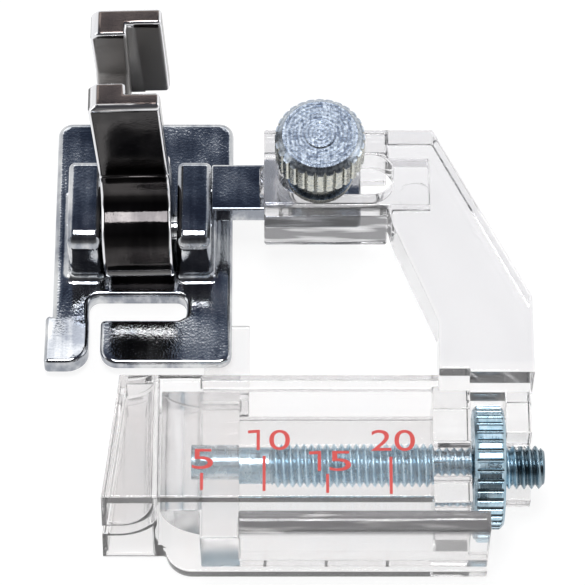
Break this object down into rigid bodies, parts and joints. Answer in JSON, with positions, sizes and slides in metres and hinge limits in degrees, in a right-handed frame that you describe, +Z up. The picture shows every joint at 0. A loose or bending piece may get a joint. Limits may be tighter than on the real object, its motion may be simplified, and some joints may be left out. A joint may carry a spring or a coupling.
{
  "type": "adjustable bias binder presser foot",
  "caption": "Low-shank presser foot with a tilting metal sole and a clear side-mounted tape guide; a thumb wheel on a lead screw sets the binding width.",
  "frame": {"origin": "needle drop point on the table plane, under the needle opening of the sole", "axes": "+X to the operator's right along the lead screw, +Y away from the operator, +Z up along the presser bar"},
  "size_m": [0.0408, 0.0418, 0.0234],
  "materials": {
    "chrome": "polished",
    "zinc": "zinc plated, turned",
    "clear": "clear moulded plastic"
  },
  "bodies": {
    "ankle": {"ankle": "chrome"},
    "foot": {"sole_plate": "chrome", "hinge_pin": "chrome", "carrier_bar": "chrome"},
    "binder": {"guide_frame": "clear"},
    "width_slider": {"slider": "clear", "lead_screw": "zinc"},
    "thumb_wheel": {"adjusting_wheel": "zinc"},
    "washer": {"clamp_washer": "zinc"},
    "knob": {"clamp_knob": "zinc", "clamp_stud": "zinc"}
  },
  "joints": [
    {"name": "sole_tilt", "type": "hinge", "parent": "ankle", "child": "foot", "pos_m": [0.0002, 0.0051, 0.0058], "axis": [1, 0, 0], "range_deg": [-12, 12]},
    {"name": "binder_shift", "type": "slide", "parent": "foot", "child": "binder", "axis": [1, 0, 0], "range_m": [-0.0038, 0.0017]},
    {"name": "wheel_turn", "type": "hinge", "parent": "binder", "child": "thumb_wheel", "pos_m": [0.0286, -0.0166, 0.0053], "axis": [-1, 0, 0], "range_deg": [0, 9001]},
    {"name": "slider_travel", "type": "slide", "parent": "binder", "child": "width_slider", "axis": [1, 0, 0], "range_m": [0, 0.015]},
    {"name": "clamp_lift", "type": "slide", "parent": "foot", "child": "washer", "axis": [0, 0, 1], "range_m": [0, 0.001]},
    {"name": "clamp_turn", "type": "hinge", "parent": "washer", "child": "knob", "pos_m": [0.01515, 0.00817, 0.013], "axis": [0, 0, 1], "range_deg": [0, 721]}
  ],
  "couplings": [
    {"joint": "wheel_turn", "follows": "slider_travel", "rad_per_m": 10472},
    {"joint": "clamp_turn", "follows": "clamp_lift", "rad_per_m": 12566}
  ]
}
